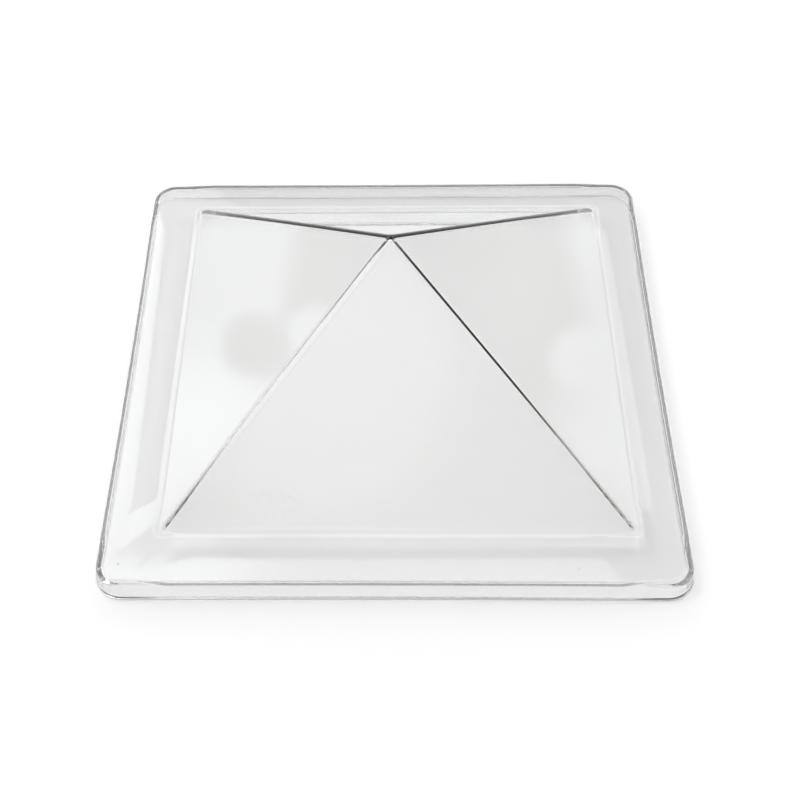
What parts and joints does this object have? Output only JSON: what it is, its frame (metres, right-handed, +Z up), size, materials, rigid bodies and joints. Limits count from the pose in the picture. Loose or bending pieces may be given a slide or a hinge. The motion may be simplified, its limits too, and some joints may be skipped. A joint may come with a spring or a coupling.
{
  "type": "pyramid skylight dome",
  "caption": "Clear moulded pyramid dome for a skylight, with a level flange that lies on a roof kerb and a short skirt that hangs outside it.",
  "frame": {"origin": "middle of the square that the skirt's cut edge stands on", "axes": "+Z up through the pyramid's tip, X and Y along the sides of the square"},
  "size_m": [0.5996, 0.5996, 0.204],
  "materials": {
    "clear_plastic": "clear and polished, faintly green in its thickness"
  },
  "bodies": {
    "root": {"pyramid_dome": "clear_plastic"}
  },
  "joints": []
}
